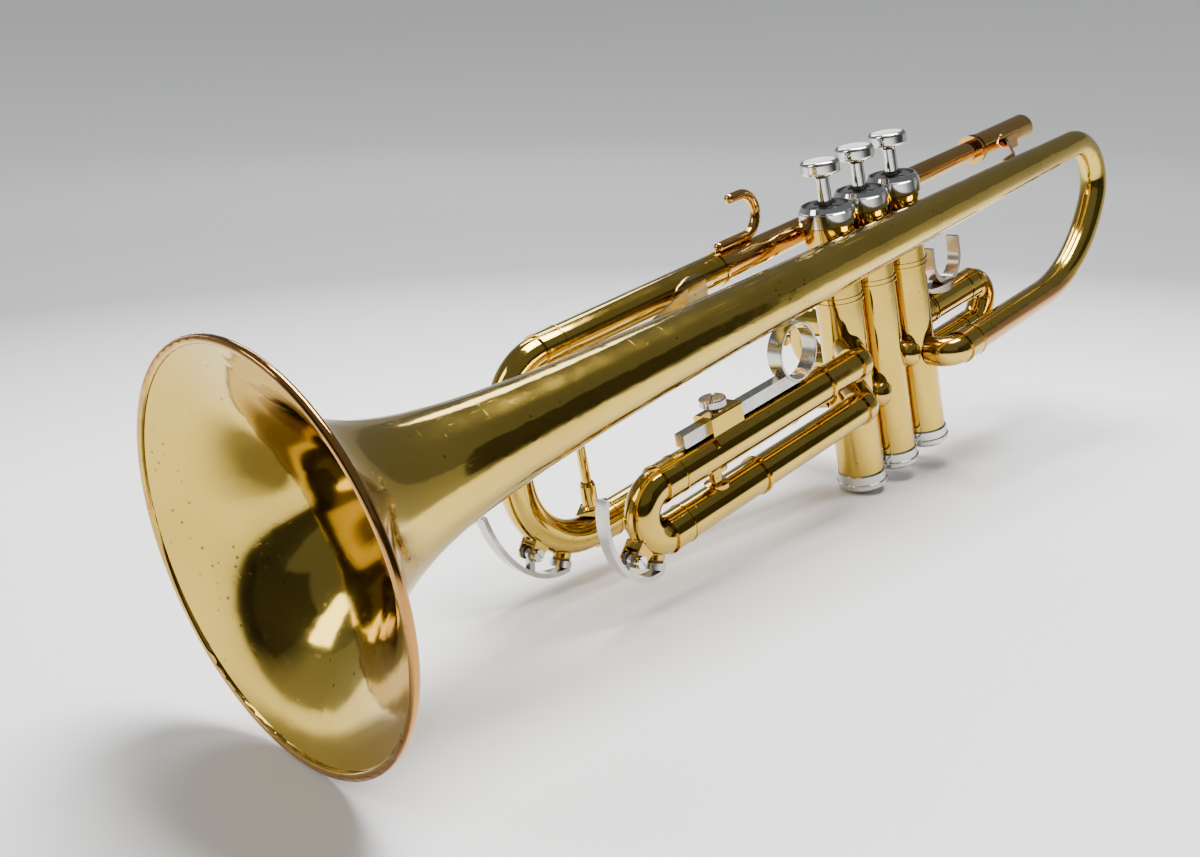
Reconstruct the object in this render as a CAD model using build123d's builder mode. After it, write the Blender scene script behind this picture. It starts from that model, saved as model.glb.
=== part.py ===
from build123d import *
import math
import os

# B flat trumpet with three piston valves, in millimetres.
# Origin: centre of the underside of the second valve's bottom cap.
# +X is the way the bell points, +Y is the player's left, +Z runs up the valve stems.

# ---------------------------------------------------------------- valve block
VALVE_PITCH = 25.0
CASING_R = 9.65
BALUSTER_R = 10.05
BORE_R = 8.55
CASING_BOTTOM = 2.0
CASING_TOP = 117.0
BALUSTER_Z = 82.3
RING_BEAD = 0.5

TOP_CAP_R = 11.45
TOP_CAP_BOTTOM = 115.6
TOP_CAP_TOP = 123.5
RECESS_R = 9.3
RECESS_FLOOR = 118.5
STEM_HOLE_R = 3.3
FELT_TOP = 120.2

BOTTOM_CAP_R = 10.3
BOTTOM_CAP_TOP = 7.4
BOTTOM_CAP_FLOOR = 1.6
BOTTOM_BEAD_R = 0.5
BOTTOM_BEAD_Z = 3.0

STROKE = 16.0
PISTON_R = 8.5
PISTON_BOTTOM = 27.0
PISTON_TOP = 114.5
BARREL_FLOOR = 81.0
BARREL_BORE_R = 7.3
BARREL_ROOF = 112.7
GUIDE_Z = 83.0
GUIDE_THICKNESS = 2.0
GUIDE_R = 7.0
GUIDE_EAR_R = 9.0
GUIDE_EAR_WIDTH = 3.0
STEM_R = 2.95
BUTTON_R = 8.15
BUTTON_BOTTOM = 136.4
BUTTON_TOP = 142.0
BUTTON_NECK = 1.8
PEARL_R = 6.6
PEARL_THICKNESS = 1.7
PEARL_DISH_R = 40.0
SPRING_WIRE_R = 0.35
SPRING_COIL_R = 5.4
SPRING_BOTTOM = 85.5
SPRING_TOP = 112.2
SPRING_TURNS = 8

# ---------------------------------------------------------------- tubing
TUBE_BORE_R = 5.83
INNER_TUBE_R = 6.12
OUTER_BORE_R = 6.17
OUTER_TUBE_R = 6.6
FERRULE_R = 6.95
FERRULE_BEAD_R = 7.2
BEAD_WIDTH = 0.8
KNUCKLE_BEND_R = 6.6
KNUCKLE_END_Y = 8.9

# ---------------------------------------------------------------- bell
BELL_Y = 18.8
BELL_Z = 105.7
BELL_MOUTH_X = 309.5
BELL_RIM_R = 61.5
BELL_JOINT_X = -153.6
BELL_WALL = 0.55
BELL_TAIL_R = 6.2
BELL_CONE = 7.4
BELL_FLARE = 47.9
FLARE_LENGTH = 51.0
FLARE_POWER = 2.7
RIM_BEAD_R = 1.35
RIM_WIRE_R = 0.75
TAIL_Z = 43.2
TAIL_END_X = -43.5
REAR_UPPER_BEND_R = 20.0
REAR_UPPER_TURN = 126.5

# ---------------------------------------------------------------- leadpipe and main tuning slide
LEAD_Y = -18.2
LEAD_Z = 110.2
RECEIVER_END_X = -175.8
RECEIVER_FRONT_X = -122.4
RECEIVER_R = 6.5
RECEIVER_MOUTH_R = 5.5
RECEIVER_TAPER = 0.05
RECEIVER_DEPTH = 30.0
RECEIVER_LIP = 2.8
LEAD_REAR_R = 4.85
LEAD_FRONT_R = 5.9
LEAD_WALL = 0.5
LEAD_FRONT_X = 110.0
SLEEVE_REAR_X = 76.0
SLEEVE_FRONT_X = 164.6
MAIN_FERRULE_LENGTH = 9.9
MAIN_LOWER_Z = 39.6
MAIN_UPPER_BEND_R = 20.0
MAIN_LOWER_BEND_R = 30.0
MAIN_INNER_LENGTH = 62.0
MAIN_KNUCKLE_X = 47.0

# ---------------------------------------------------------------- third slide
THIRD_Y = 18.4
THIRD_UPPER_Z = 63.4
THIRD_LOWER_Z = 45.0
THIRD_FERRULE_X = 154.6
THIRD_FERRULE_LENGTH = 10.0
THIRD_UPPER_END_X = 67.3
THIRD_LOWER_END_X = 112.5
THIRD_INNER_END_X = 140.0
THIRD_KNUCKLE_X = 47.0
ROD_SIDE = 4.8
ROD_Z = 73.2
ROD_FRONT_X = 150.0
RING_X = 82.5
RING_Z = 82.5
RING_INNER_R = 10.2
RING_OUTER_R = 11.3
RING_WIDTH = 6.6

# ---------------------------------------------------------------- first slide
FIRST_UPPER_Z = 57.4
FIRST_LOWER_Z = 38.4
FIRST_BOW_X = -76.0
FIRST_OUTER_END_X = -39.5
FIRST_SOCKET_X = -38.5
SADDLE_X = -56.5
SADDLE_BEND_R = 11.0
SADDLE_TIP_Z = 83.5

# ---------------------------------------------------------------- second slide
SECOND_UPPER_Z = 62.0
SECOND_LOWER_Z = 43.0
SECOND_OUTER_END_Y = -27.0
SECOND_INNER_END_Y = -11.0
SECOND_BOW_Y = -31.0
KNOB_R = 4.2

CROSSOVER_Y = 2.0
CROSSOVER_BALL_Y = 4.8
CROSSOVER_BALL_R = 6.0
CROSSOVER_R = 5.6
CROSSOVER_BORE_R = 4.43
CROSSOVER_32_Z = 37.0
CROSSOVER_21_Z = 46.0

os.makedirs("parts", exist_ok=True)

VALVES = {1: -VALVE_PITCH, 2: 0.0, 3: VALVE_PITCH}
FRONT_PLANE = {"x_dir": (1, 0, 0), "z_dir": (0, -1, 0)}


def save(part, name):
    """Label a finished piece and write it to the parts folder."""
    part.label = name
    export_step(part, f"parts/{name}.step")


def upright(y):
    """The X-Z plane at one distance to the player's left."""
    return Plane(origin=(0, y, 0), **FRONT_PLANE)


def tube_x(x_from, x_to, y, z, outer_r, inner_r):
    """A straight round tube along X."""
    with BuildPart() as tube:
        with BuildSketch(Plane(origin=(x_from, y, z), z_dir=(1, 0, 0))):
            Circle(outer_r)
            Circle(inner_r, mode=Mode.SUBTRACT)
        extrude(amount=x_to - x_from)
    return tube.part


def tube_y(y_from, y_to, x, z, outer_r, inner_r):
    """A straight round tube that runs from one Y towards a lower one."""
    with BuildPart() as tube:
        with BuildSketch(Plane(origin=(x, y_from, z), z_dir=(0, -1, 0))):
            Circle(outer_r)
            Circle(inner_r, mode=Mode.SUBTRACT)
        extrude(amount=y_from - y_to)
    return tube.part


def beads_x(stations, y, z, outer_r, inner_r):
    """Narrow raised rings round a tube along X, one at each station."""
    with BuildPart() as beads:
        for x in stations:
            with BuildSketch(Plane(origin=(x, y, z), z_dir=(1, 0, 0))):
                Circle(outer_r)
                Circle(inner_r, mode=Mode.SUBTRACT)
            extrude(amount=BEAD_WIDTH)
    return beads.part


def bent_tube(path, outer_r, inner_r):
    """A round tube swept along a path of tangent lines and arcs."""
    with BuildPart() as tube:
        with BuildSketch(Plane(origin=path @ 0, z_dir=path % 0)):
            Circle(outer_r)
            Circle(inner_r, mode=Mode.SUBTRACT)
        sweep(path=path)
    return tube.part


def knuckle(x_from, side_y, z, valve_x):
    """A ferrule along X that turns through a tight elbow into a casing's side."""
    along = 1 if x_from > valve_x else -1
    side = 1 if side_y > 0 else -1
    bend = KNUCKLE_BEND_R
    with BuildPart() as elbow:
        with BuildLine(Plane.XY.offset(z)) as route:
            straight = Line((x_from, side_y), (valve_x + along * bend, side_y))
            turn = TangentArc(straight @ 1, (valve_x, side_y - side * bend), tangent=straight % 1)
            Line(turn @ 1, (valve_x, side * KNUCKLE_END_Y))
        with BuildSketch(Plane(origin=straight @ 0, z_dir=straight % 0)):
            Circle(OUTER_TUBE_R - 0.1)
            Circle(TUBE_BORE_R, mode=Mode.SUBTRACT)
        sweep(path=route.wires()[0])
        with BuildSketch(Plane(origin=(x_from, side_y, z), z_dir=(-along, 0, 0))):
            Circle(FERRULE_R)
            Circle(OUTER_TUBE_R - 0.1, mode=Mode.SUBTRACT)
        extrude(amount=BEAD_WIDTH)
        with Locations((valve_x, 0, z)):
            Cylinder(CASING_R, 3 * OUTER_TUBE_R, mode=Mode.SUBTRACT)
    return elbow.part


def ball_knuckle(x_from, side_y, z, valve_x):
    """A ferrule along X that turns in a ball elbow and runs on towards a casing's axis."""
    along = 1 if x_from > valve_x else -1
    ball = Vector(valve_x + along * abs(side_y), side_y, z)
    aim = Vector(valve_x, 0, z) - ball
    with BuildPart() as elbow:
        for radius, mode in ((OUTER_TUBE_R - 0.1, Mode.ADD), (TUBE_BORE_R, Mode.SUBTRACT)):
            with BuildSketch(Plane(origin=ball, z_dir=aim)):
                Circle(radius)
            extrude(amount=aim.length, mode=mode)
            with BuildSketch(Plane(origin=ball, z_dir=(along, 0, 0))):
                Circle(radius)
            extrude(amount=abs(x_from - ball.X), mode=mode)
            with Locations(ball):
                Sphere(radius, mode=mode)
        with BuildSketch(Plane(origin=(x_from, side_y, z), z_dir=(-along, 0, 0))):
            Circle(FERRULE_R)
            Circle(OUTER_TUBE_R - 0.1, mode=Mode.SUBTRACT)
        extrude(amount=BEAD_WIDTH)
        with Locations((valve_x, 0, z)):
            Cylinder(CASING_R, 3 * OUTER_TUBE_R, mode=Mode.SUBTRACT)
    return elbow.part


def leaf(x_mid, length, y, z, tube_r, facing, height):
    """A thin pointed solder plate that hugs a tube along X; facing is +1 for its +Y side."""
    half = length / 2
    thickness = 0.9
    with BuildPart() as plate:
        with BuildSketch(Plane(origin=(x_mid - half, y, z), z_dir=(1, 0, 0))):
            Circle(tube_r + thickness)
            Circle(tube_r, mode=Mode.SUBTRACT)
        extrude(amount=length)
        with BuildSketch(Plane(origin=(x_mid, y, z), **FRONT_PLANE)):
            with BuildLine():
                ThreePointArc((-half, 0), (0, height / 2), (half, 0))
                ThreePointArc((half, 0), (0, -height / 2), (-half, 0))
            make_face()
        extrude(amount=-facing * (tube_r + 2 * thickness), mode=Mode.INTERSECT)
    return plate.part


# ================================================================ valve casings
def casing_ports(number):
    """Where each casing is drilled: (height, direction from its centre)."""
    if number == 1:
        return [(TAIL_Z, (0, 1, 0)), (FIRST_UPPER_Z, (-1, 0, 0)), (FIRST_LOWER_Z, (-1, 0, 0))]
    if number == 2:
        return [(SECOND_UPPER_Z, (0, -1, 0)), (SECOND_LOWER_Z, (0, -1, 0))]
    return [(THIRD_UPPER_Z, (1, 1, 0)), (THIRD_LOWER_Z, (1, 1, 0)), (MAIN_LOWER_Z, (0, -1, 0))]


def crossover_ports(number):
    """Crossover holes: (side of the casing, height)."""
    if number == 1:
        return [(1, CROSSOVER_21_Z)]
    if number == 2:
        return [(-1, CROSSOVER_21_Z), (1, CROSSOVER_32_Z)]
    return [(-1, CROSSOVER_32_Z)]


def bell_radius(x):
    """The bell's outer radius: a slow cone plus a flare that dies away behind the mouth."""
    back = BELL_MOUTH_X - x
    cone = BELL_CONE * (1 - back / (BELL_MOUTH_X - BELL_JOINT_X))
    flare = BELL_FLARE * (FLARE_LENGTH / (back + FLARE_LENGTH)) ** FLARE_POWER
    return BELL_TAIL_R + cone + flare


def bell_slope(x):
    """How fast the bell's outer radius grows along X."""
    step = 0.01
    return (bell_radius(x + step) - bell_radius(x - step)) / (2 * step)


for number, valve_x in VALVES.items():
    with BuildPart() as casing:
        with BuildSketch(Plane.XZ) as wall:
            with BuildLine():
                Polyline(
                    (BORE_R, CASING_BOTTOM),
                    (CASING_R, CASING_BOTTOM),
                    (CASING_R, BALUSTER_Z),
                    (BALUSTER_R, BALUSTER_Z),
                    (BALUSTER_R, CASING_TOP),
                    (BORE_R, CASING_TOP),
                    close=True,
                )
            make_face()
            for height, width in ((BALUSTER_Z, 1.0), (BALUSTER_Z + 2.2, 0.8), (TOP_CAP_BOTTOM - 2.6, 2.0)):
                with Locations((BALUSTER_R, height + width / 2)):
                    Rectangle(2 * RING_BEAD, width)
        revolve(axis=Axis.Z)
        for height, direction in casing_ports(number):
            with BuildSketch(Plane(origin=(0, 0, height), z_dir=direction)):
                Circle(TUBE_BORE_R)
            extrude(amount=2 * CASING_R, mode=Mode.SUBTRACT)
        for side, height in crossover_ports(number):
            with BuildSketch(Plane(origin=(0, CROSSOVER_Y, height), z_dir=(side, 0, 0))):
                Circle(CROSSOVER_BORE_R)
            extrude(amount=2 * CASING_R, mode=Mode.SUBTRACT)
        with Locations((0, 0, GUIDE_Z + GUIDE_THICKNESS / 2)):
            Box(2 * GUIDE_EAR_R + 0.2, GUIDE_EAR_WIDTH + 0.2, GUIDE_THICKNESS + 0.2, mode=Mode.SUBTRACT)
        with BuildSketch(Plane(origin=(-20, BELL_Y, BELL_Z), z_dir=(1, 0, 0))):
            Circle(bell_radius(valve_x - 20) + 0.05)
        with BuildSketch(Plane(origin=(20, BELL_Y, BELL_Z), z_dir=(1, 0, 0))):
            Circle(bell_radius(valve_x + 20) + 0.05)
        loft(mode=Mode.SUBTRACT)
    save(Pos(valve_x, 0, 0) * casing.part, f"casing_{number}")


def crossover(x_mid, z):
    """A short tube between two casings with a round ball soldered over it on the player's left."""
    with BuildPart() as tube:
        with BuildSketch(Plane(origin=(x_mid - VALVE_PITCH / 2, CROSSOVER_Y, z), z_dir=(1, 0, 0))):
            Circle(CROSSOVER_R)
        extrude(amount=VALVE_PITCH)
        with Locations((x_mid, CROSSOVER_BALL_Y, z)):
            Sphere(CROSSOVER_BALL_R)
        with BuildSketch(Plane(origin=(x_mid - VALVE_PITCH / 2, CROSSOVER_Y, z), z_dir=(1, 0, 0))):
            Circle(CROSSOVER_BORE_R)
        extrude(amount=VALVE_PITCH, mode=Mode.SUBTRACT)
        for side in (-1, 1):
            with Locations((x_mid + side * VALVE_PITCH / 2, 0, z)):
                Cylinder(CASING_R, 4 * CROSSOVER_BALL_R, mode=Mode.SUBTRACT)
    return tube.part


with BuildPart() as crossover_tubes:
    add(crossover(VALVE_PITCH / 2, CROSSOVER_32_Z))
    add(crossover(-VALVE_PITCH / 2, CROSSOVER_21_Z))
save(crossover_tubes.part, "crossover_tubes")

# ================================================================ caps and felts
with BuildPart() as top_cap:
    with BuildSketch(Plane.XZ):
        with BuildLine():
            Polyline(
                (BALUSTER_R + 0.05, TOP_CAP_BOTTOM),
                (TOP_CAP_R, TOP_CAP_BOTTOM),
                (TOP_CAP_R, TOP_CAP_TOP - 2.6),
                (TOP_CAP_R - 0.35, TOP_CAP_TOP - 2.3),
                (TOP_CAP_R - 0.35, TOP_CAP_TOP - 1.9),
                (RECESS_R + 0.7, TOP_CAP_TOP),
                (RECESS_R, TOP_CAP_TOP),
                (RECESS_R, RECESS_FLOOR),
                (STEM_HOLE_R, RECESS_FLOOR),
                (STEM_HOLE_R, CASING_TOP),
                (BALUSTER_R + 0.05, CASING_TOP),
                close=True,
            )
        make_face()
    revolve(axis=Axis.Z)

with BuildPart() as bottom_cap:
    with BuildSketch(Plane.XZ):
        with BuildLine():
            Polyline(
                (0, 0),
                (BOTTOM_CAP_R - 1.2, 0),
                (BOTTOM_CAP_R, 1.2),
                (BOTTOM_CAP_R, BOTTOM_CAP_TOP - 0.6),
                (BOTTOM_CAP_R - 0.4, BOTTOM_CAP_TOP),
                (CASING_R + 0.05, BOTTOM_CAP_TOP),
                (CASING_R + 0.05, CASING_BOTTOM - 0.02),
                (BORE_R, CASING_BOTTOM - 0.02),
                (BORE_R, BOTTOM_CAP_FLOOR),
                (0, BOTTOM_CAP_FLOOR),
                close=True,
            )
        make_face()
        with Locations((BOTTOM_CAP_R, BOTTOM_BEAD_Z)):
            Circle(BOTTOM_BEAD_R)
    revolve(axis=Axis.Z)

with BuildPart() as cap_felt:
    with BuildSketch(Plane.XY.offset(RECESS_FLOOR)):
        Circle(RECESS_R - 0.1)
        Circle(STEM_HOLE_R + 1.5, mode=Mode.SUBTRACT)
    extrude(amount=FELT_TOP - RECESS_FLOOR)
    fillet(cap_felt.edges().group_by(Axis.Z)[-1], radius=0.4)

for piece, name in ((top_cap, "top_caps"), (bottom_cap, "bottom_caps"), (cap_felt, "cap_felts")):
    with BuildPart() as row:
        for valve_x in VALVES.values():
            add(Pos(valve_x, 0, 0) * piece.part)
    save(row.part, name)

# ================================================================ spring guides
with BuildPart() as guide:
    with BuildSketch(Plane.XY.offset(GUIDE_Z)):
        Circle(GUIDE_R)
        Rectangle(2 * GUIDE_EAR_R, GUIDE_EAR_WIDTH)
        Circle(2.0, mode=Mode.SUBTRACT)
    extrude(amount=GUIDE_THICKNESS)

with BuildPart() as valve_guides:
    for valve_x in VALVES.values():
        add(Pos(valve_x, 0, 0) * guide.part)
save(valve_guides.part, "valve_guides")


# ================================================================ pistons, stems, buttons, springs
def rest_ports(number):
    """The two mouths that the piston joins at rest: (height, direction)."""
    if number == 1:
        return [(TAIL_Z, (0, 1, 0)), (CROSSOVER_21_Z, (1, 0, 0))]
    if number == 2:
        return [(CROSSOVER_21_Z, (-1, 0, 0)), (CROSSOVER_32_Z, (1, 0, 0))]
    return [(CROSSOVER_32_Z, (-1, 0, 0)), (MAIN_LOWER_Z, (0, -1, 0))]


def pressed_ports(number):
    """The mouths that line up when the piston is down: (height at rest, direction)."""
    if number == 1:
        return [(FIRST_UPPER_Z + STROKE, (-1, 0, 0)), (CROSSOVER_21_Z + STROKE, (1, 0, 0))]
    if number == 2:
        return [(SECOND_UPPER_Z + STROKE / 2, (0, -1, 0)), (CROSSOVER_32_Z + STROKE, (1, 0, 0))]
    return [(THIRD_LOWER_Z + STROKE, (0.7071, 0.7071, 0)), (CROSSOVER_32_Z + STROKE, (-1, 0, 0))]


for number, valve_x in VALVES.items():
    with BuildPart() as piston:
        with BuildSketch(Plane.XY.offset(PISTON_BOTTOM)):
            Circle(PISTON_R)
        extrude(amount=PISTON_TOP - PISTON_BOTTOM)
        with BuildSketch(Plane.XY.offset(BARREL_FLOOR)):
            Circle(BARREL_BORE_R)
        extrude(amount=BARREL_ROOF - BARREL_FLOOR, mode=Mode.SUBTRACT)
        with BuildSketch(Plane.XY.offset(BARREL_ROOF)):
            Circle(STEM_R - 0.6)
        extrude(amount=PISTON_TOP - BARREL_ROOF, mode=Mode.SUBTRACT)
        slot_height = STROKE + GUIDE_THICKNESS + 2.0
        with Locations((0, 0, GUIDE_Z - 0.8 + slot_height / 2)):
            Box(4 * PISTON_R, GUIDE_EAR_WIDTH + 0.4, slot_height, mode=Mode.SUBTRACT)
        for ports in (rest_ports(number), pressed_ports(number)):
            middle = sum(height for height, _ in ports) / 2
            for height, direction in ports:
                start = Vector(0, 0, middle)
                mouth = Vector(*direction) * PISTON_R * 1.2 + Vector(0, 0, height)
                with BuildSketch(Plane(origin=start, z_dir=mouth - start)):
                    Circle(TUBE_BORE_R - 1.2)
                extrude(amount=(mouth - start).length, mode=Mode.SUBTRACT)
            with Locations((0, 0, middle)):
                Sphere(TUBE_BORE_R - 1.2, mode=Mode.SUBTRACT)
    save(Pos(valve_x, 0, 0) * piston.part, f"piston_{number}")

with BuildPart() as stem:
    with BuildSketch(Plane.XY.offset(PISTON_TOP)):
        Circle(STEM_R)
    extrude(amount=BUTTON_BOTTOM - BUTTON_NECK - PISTON_TOP)
    with BuildSketch(Plane.XY.offset(BARREL_ROOF)):
        Circle(STEM_R - 0.65)
    extrude(amount=PISTON_TOP - BARREL_ROOF)

with BuildPart() as button:
    with BuildSketch(Plane.XZ):
        with BuildLine():
            Polyline(
                (0, BUTTON_BOTTOM - BUTTON_NECK),
                (STEM_R + 0.25, BUTTON_BOTTOM - BUTTON_NECK),
                (STEM_R + 1.3, BUTTON_BOTTOM),
                (BUTTON_R - 1.0, BUTTON_BOTTOM),
            )
            RadiusArc((BUTTON_R - 1.0, BUTTON_BOTTOM), (BUTTON_R, BUTTON_BOTTOM + 1.2), -1.3)
            Line((BUTTON_R, BUTTON_BOTTOM + 1.2), (BUTTON_R, BUTTON_TOP - 1.4))
            RadiusArc((BUTTON_R, BUTTON_TOP - 1.4), (PEARL_R + 0.1, BUTTON_TOP), -1.7)
            Polyline(
                (PEARL_R + 0.1, BUTTON_TOP),
                (PEARL_R, BUTTON_TOP - PEARL_THICKNESS),
                (0, BUTTON_TOP - PEARL_THICKNESS),
                (0, BUTTON_BOTTOM - BUTTON_NECK),
            )
        make_face()
    revolve(axis=Axis.Z)

with BuildPart() as pearl:
    with BuildSketch(Plane.XY.offset(BUTTON_TOP - PEARL_THICKNESS)):
        Circle(PEARL_R - 0.05)
    extrude(amount=PEARL_THICKNESS - 0.3)
    with Locations((0, 0, BUTTON_TOP - 0.8 + PEARL_DISH_R)):
        Sphere(PEARL_DISH_R, mode=Mode.SUBTRACT)

with BuildPart() as spring:
    with BuildLine() as coil:
        Helix(
            pitch=(SPRING_TOP - SPRING_BOTTOM) / SPRING_TURNS,
            height=SPRING_TOP - SPRING_BOTTOM,
            radius=SPRING_COIL_R,
            center=(0, 0, SPRING_BOTTOM),
        )
    with BuildSketch(Plane(origin=coil.line @ 0, z_dir=coil.line % 0)):
        Circle(SPRING_WIRE_R)
    sweep(path=coil.line, is_frenet=True)

for number, valve_x in VALVES.items():
    save(Pos(valve_x, 0, 0) * stem.part, f"valve_stem_{number}")
    save(Pos(valve_x, 0, 0) * button.part, f"finger_button_{number}")
    save(Pos(valve_x, 0, 0) * pearl.part, f"button_pearl_{number}")
    save(Pos(valve_x, 0, 0) * spring.part, f"valve_spring_{number}")


# ================================================================ bell
bell_stations = []
for count in range(15):
    share = count / 14
    bell_stations.append(BELL_MOUTH_X + (BELL_JOINT_X - BELL_MOUTH_X) * share**1.9)

outer_points = []
inner_points = []
for x in bell_stations:
    tilt = math.atan(bell_slope(x))
    outer_points.append((x, bell_radius(x)))
    inner_points.append((x + BELL_WALL * math.sin(tilt), bell_radius(x) - BELL_WALL * math.cos(tilt)))
inner_points[-1] = (BELL_JOINT_X, inner_points[-1][1])
bead_centre = (BELL_MOUTH_X - 0.5, BELL_RIM_R - RIM_BEAD_R)

rear_bend_end = 90 + REAR_UPPER_TURN
end_cos = math.cos(math.radians(rear_bend_end))
end_sin = math.sin(math.radians(rear_bend_end))
lower_bend_r = (BELL_Z - TAIL_Z - REAR_UPPER_BEND_R * (1 - end_sin)) / (1 + end_sin)
upper_centre = (BELL_JOINT_X, BELL_Z - REAR_UPPER_BEND_R)
lower_centre = (
    upper_centre[0] + (REAR_UPPER_BEND_R - lower_bend_r) * end_cos,
    upper_centre[1] + (REAR_UPPER_BEND_R - lower_bend_r) * end_sin,
)

with BuildPart() as bell:
    with BuildSketch(Plane(origin=(0, BELL_Y, BELL_Z), **FRONT_PLANE)):
        with BuildLine():
            outside = Spline(*outer_points)
            inside = Spline(*inner_points)
            Line(outside @ 0, inside @ 0)
            Line(outside @ 1, inside @ 1)
        make_face()
        with Locations(bead_centre):
            Circle(RIM_BEAD_R)
            Circle(RIM_WIRE_R + 0.02, mode=Mode.SUBTRACT)
    revolve(axis=Axis((0, BELL_Y, BELL_Z), (1, 0, 0)))
    with BuildLine(upright(BELL_Y)) as rear_bow:
        CenterArc(upper_centre, REAR_UPPER_BEND_R, 90, REAR_UPPER_TURN)
        CenterArc(lower_centre, lower_bend_r, rear_bend_end, 270 - rear_bend_end)
        Line((lower_centre[0], TAIL_Z), (TAIL_END_X + 6.0, TAIL_Z))
    tail_r = bell_radius(BELL_JOINT_X)
    with BuildSketch(Plane(origin=(BELL_JOINT_X, BELL_Y, BELL_Z), z_dir=(-1, 0, 0))):
        Circle(tail_r)
        Circle(tail_r - BELL_WALL, mode=Mode.SUBTRACT)
    sweep(path=rear_bow.wires()[0])
save(bell.part, "bell")

with BuildPart() as rim_wire:
    with BuildSketch(Plane(origin=(0, BELL_Y, BELL_Z), **FRONT_PLANE)):
        with Locations(bead_centre):
            Circle(RIM_WIRE_R)
    revolve(axis=Axis((0, BELL_Y, BELL_Z), (1, 0, 0)))
save(rim_wire.part, "rim_wire")

# ================================================================ knuckles into the casings
with BuildPart() as valve_knuckles:
    add(knuckle(TAIL_END_X + 6.0, BELL_Y, TAIL_Z, -VALVE_PITCH))
    add(tube_x(TAIL_END_X, TAIL_END_X + 11.0, BELL_Y, TAIL_Z, FERRULE_R, tail_r + 0.02))
    add(beads_x([TAIL_END_X, TAIL_END_X + 10.2], BELL_Y, TAIL_Z, FERRULE_BEAD_R, tail_r + 0.02))
    add(ball_knuckle(THIRD_KNUCKLE_X, THIRD_Y, THIRD_UPPER_Z, VALVE_PITCH))
    add(ball_knuckle(THIRD_KNUCKLE_X, THIRD_Y, THIRD_LOWER_Z, VALVE_PITCH))
    add(knuckle(MAIN_KNUCKLE_X, LEAD_Y, MAIN_LOWER_Z, VALVE_PITCH))
save(valve_knuckles.part, "valve_knuckles")

# ================================================================ leadpipe and receiver
with BuildPart() as receiver:
    with BuildSketch(Plane(origin=(0, LEAD_Y, LEAD_Z), **FRONT_PLANE)):
        mouth_x = RECEIVER_END_X
        bottom_x = RECEIVER_END_X + RECEIVER_DEPTH
        bottom_r = RECEIVER_MOUTH_R - RECEIVER_TAPER * RECEIVER_DEPTH / 2
        with BuildLine():
            Polyline(
                (mouth_x, RECEIVER_MOUTH_R),
                (mouth_x, RECEIVER_R - 0.7),
            )
            RadiusArc((mouth_x, RECEIVER_R - 0.7), (mouth_x + 0.7, RECEIVER_R), 0.7)
            Polyline(
                (mouth_x + 0.7, RECEIVER_R),
                (RECEIVER_FRONT_X - 5.0, RECEIVER_R),
                (RECEIVER_FRONT_X - 5.0, RECEIVER_R + 0.6),
                (RECEIVER_FRONT_X - 3.6, RECEIVER_R + 0.6),
                (RECEIVER_FRONT_X - 3.6, RECEIVER_R + 0.2),
                (RECEIVER_FRONT_X - 1.6, RECEIVER_R + 0.2),
                (RECEIVER_FRONT_X - 1.6, RECEIVER_R + 0.7),
                (RECEIVER_FRONT_X, RECEIVER_R + 0.7),
                (RECEIVER_FRONT_X, LEAD_REAR_R + 0.02),
                (bottom_x, LEAD_REAR_R + 0.02),
                (bottom_x, bottom_r - 0.6),
                (bottom_x - 0.2, bottom_r),
                (mouth_x + RECEIVER_LIP, RECEIVER_MOUTH_R),
                (mouth_x, RECEIVER_MOUTH_R),
            )
        make_face()
    revolve(axis=Axis((0, LEAD_Y, LEAD_Z), (1, 0, 0)))
save(receiver.part, "mouthpiece_receiver")

with BuildPart() as leadpipe:
    with BuildSketch(Plane(origin=(0, LEAD_Y, LEAD_Z), **FRONT_PLANE)):
        rear_x = RECEIVER_END_X + RECEIVER_DEPTH + 0.1
        with BuildLine():
            Polyline(
                (rear_x, LEAD_REAR_R - LEAD_WALL),
                (rear_x, LEAD_REAR_R),
                (RECEIVER_FRONT_X, LEAD_REAR_R),
                (SLEEVE_REAR_X, LEAD_FRONT_R),
                (LEAD_FRONT_X, LEAD_FRONT_R),
                (LEAD_FRONT_X, LEAD_FRONT_R - LEAD_WALL),
                (SLEEVE_REAR_X, LEAD_FRONT_R - LEAD_WALL),
                (RECEIVER_FRONT_X, LEAD_REAR_R - LEAD_WALL),
                close=True,
            )
        make_face()
    revolve(axis=Axis((0, LEAD_Y, LEAD_Z), (1, 0, 0)))
save(leadpipe.part, "leadpipe")

main_front_x = SLEEVE_FRONT_X + MAIN_FERRULE_LENGTH + MAIN_UPPER_BEND_R
main_lower_x = main_front_x - MAIN_LOWER_BEND_R
lower_sleeve_front = main_lower_x - MAIN_FERRULE_LENGTH

with BuildPart() as tuning_outer_tubes:
    add(tube_x(SLEEVE_REAR_X, SLEEVE_FRONT_X, LEAD_Y, LEAD_Z, OUTER_TUBE_R, OUTER_BORE_R))
    add(tube_x(SLEEVE_REAR_X, SLEEVE_REAR_X + 1.2, LEAD_Y, LEAD_Z, OUTER_TUBE_R + 0.45, LEAD_FRONT_R + 0.02))
    add(tube_x(MAIN_KNUCKLE_X, lower_sleeve_front, LEAD_Y, MAIN_LOWER_Z, OUTER_TUBE_R, OUTER_BORE_R))
save(tuning_outer_tubes.part, "tuning_outer_tubes")

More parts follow.
